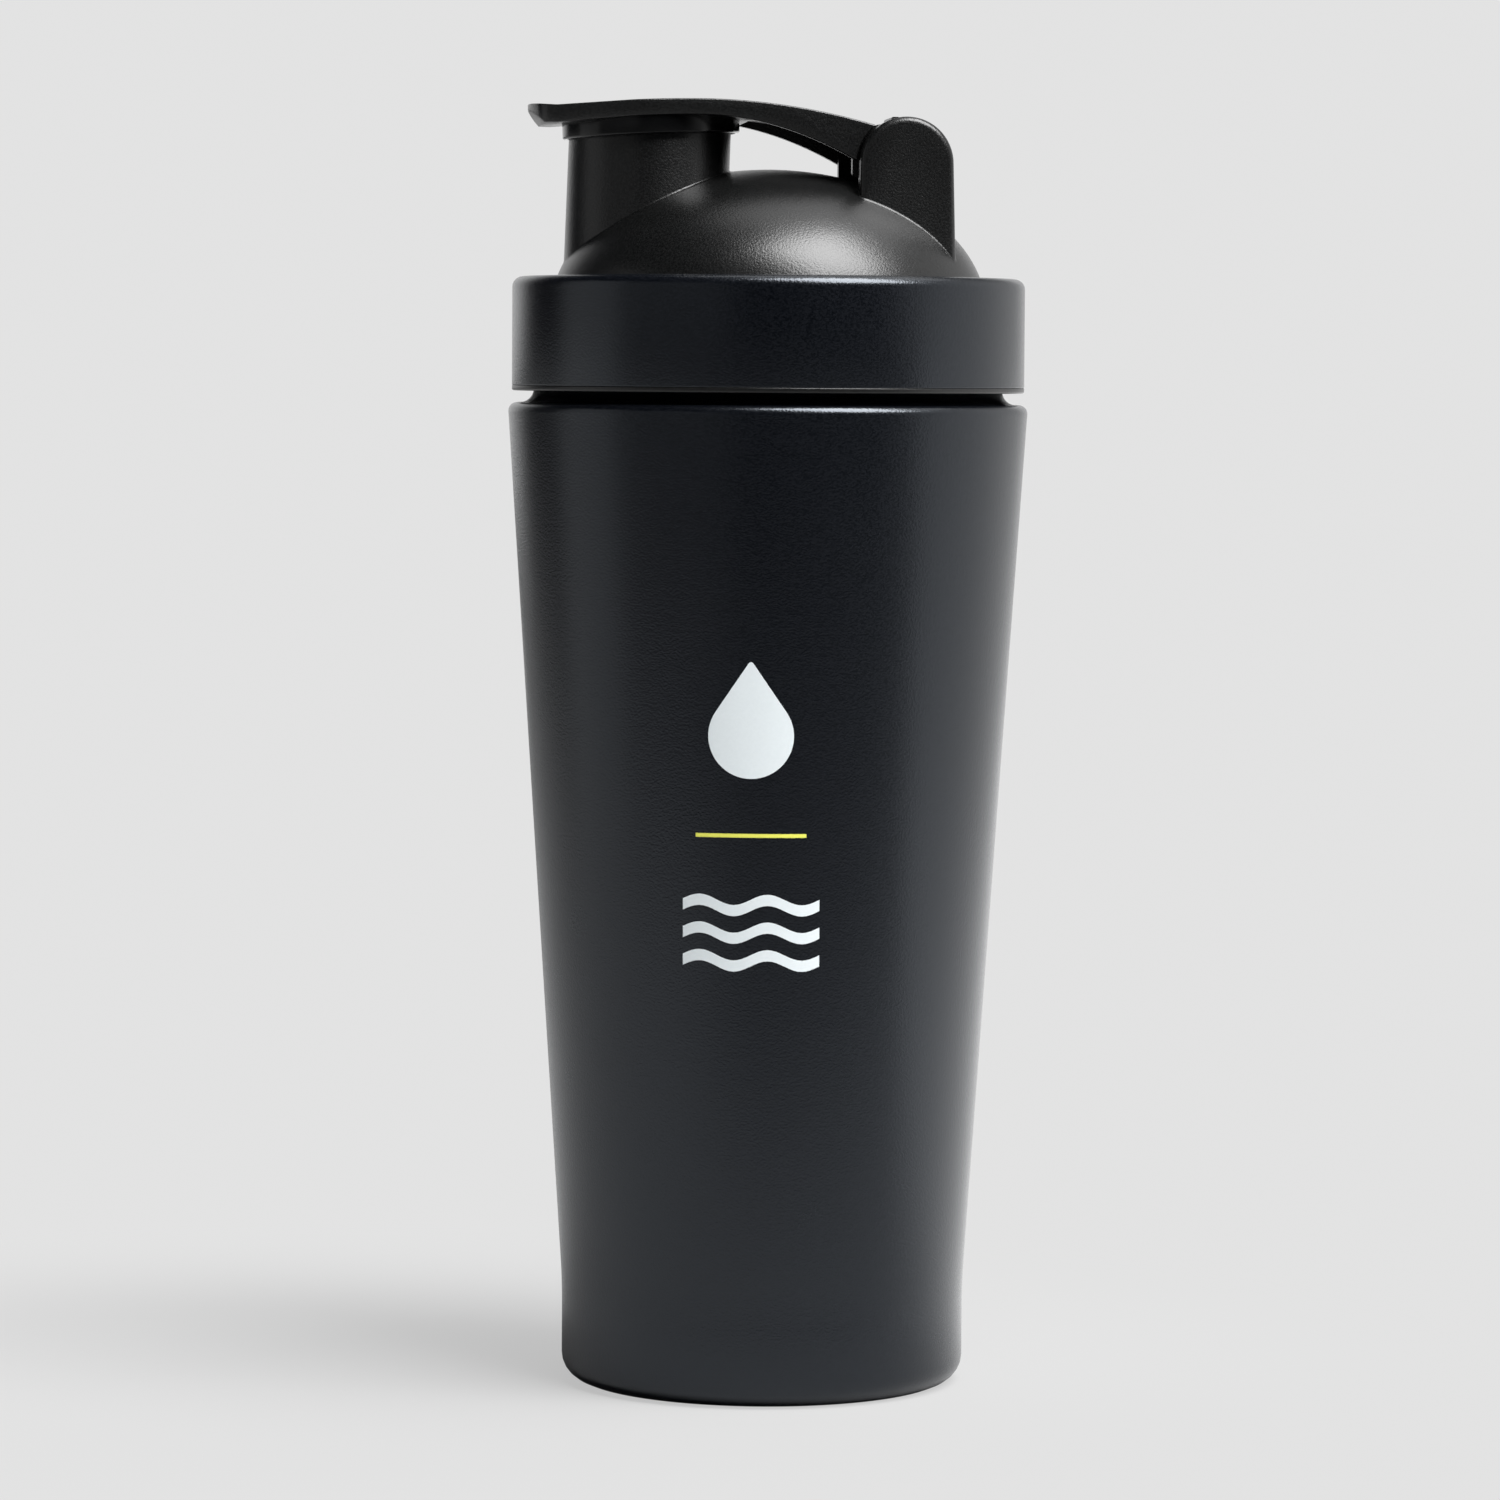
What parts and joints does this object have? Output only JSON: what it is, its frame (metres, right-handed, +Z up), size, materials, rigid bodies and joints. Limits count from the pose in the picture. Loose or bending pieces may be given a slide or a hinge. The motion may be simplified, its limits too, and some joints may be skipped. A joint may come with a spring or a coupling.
{
  "type": "shaker bottle",
  "caption": "Tapered black steel shaker cup with a screw-on lid, a drinking spout under a hinged flip cap, and a mixing grid held inside the lid.",
  "frame": {"origin": "centre of the foot, on the surface that the bottle stands on", "axes": "+Z up along the bottle's axis, -X towards the spout and thumb tab, +X towards the cap's hinge, -Y the front"},
  "size_m": [0.09, 0.09, 0.2222],
  "materials": {
    "coated_steel": "fine matt black powder coat",
    "bare_steel": "drawn stainless steel",
    "silicone": "matt",
    "grained_plastic": "fine moulded grain",
    "pin_steel": "ground",
    "strainer_plastic": "satin",
    "glossy_seal": "polished soft plastic"
  },
  "bodies": {
    "cup": {"cup_wall": "coated_steel", "cup_base": "bare_steel"},
    "gasket": {"lid_gasket": "silicone"},
    "lid": {"lid_core": "grained_plastic", "lid_collar": "coated_steel", "hinge_pin": "pin_steel"},
    "cap": {"flip_cap": "grained_plastic", "spout_seal": "glossy_seal"},
    "grid": {"strainer": "strainer_plastic"}
  },
  "joints": [
    {"name": "lid_rise", "type": "slide", "parent": "cup", "child": "gasket", "axis": [0, 0, 1], "range_m": [0, 0.00601]},
    {"name": "lid_turn", "type": "hinge", "parent": "gasket", "child": "lid", "pos_m": [0, 0, 0.18], "axis": [0, 0, 1], "range_deg": [0, 540]},
    {"name": "cap_flip", "type": "hinge", "parent": "lid", "child": "cap", "pos_m": [0.022, 0, 0.21135], "axis": [0, 1, 0], "range_deg": [0, 140]},
    {"name": "strainer_pull", "type": "slide", "parent": "lid", "child": "grid", "axis": [0, 0, -1], "range_m": [0, 0.012]}
  ],
  "couplings": [
    {"joint": "lid_rise", "follows": "lid_turn", "m_per_rad": 0.00063662}
  ]
}
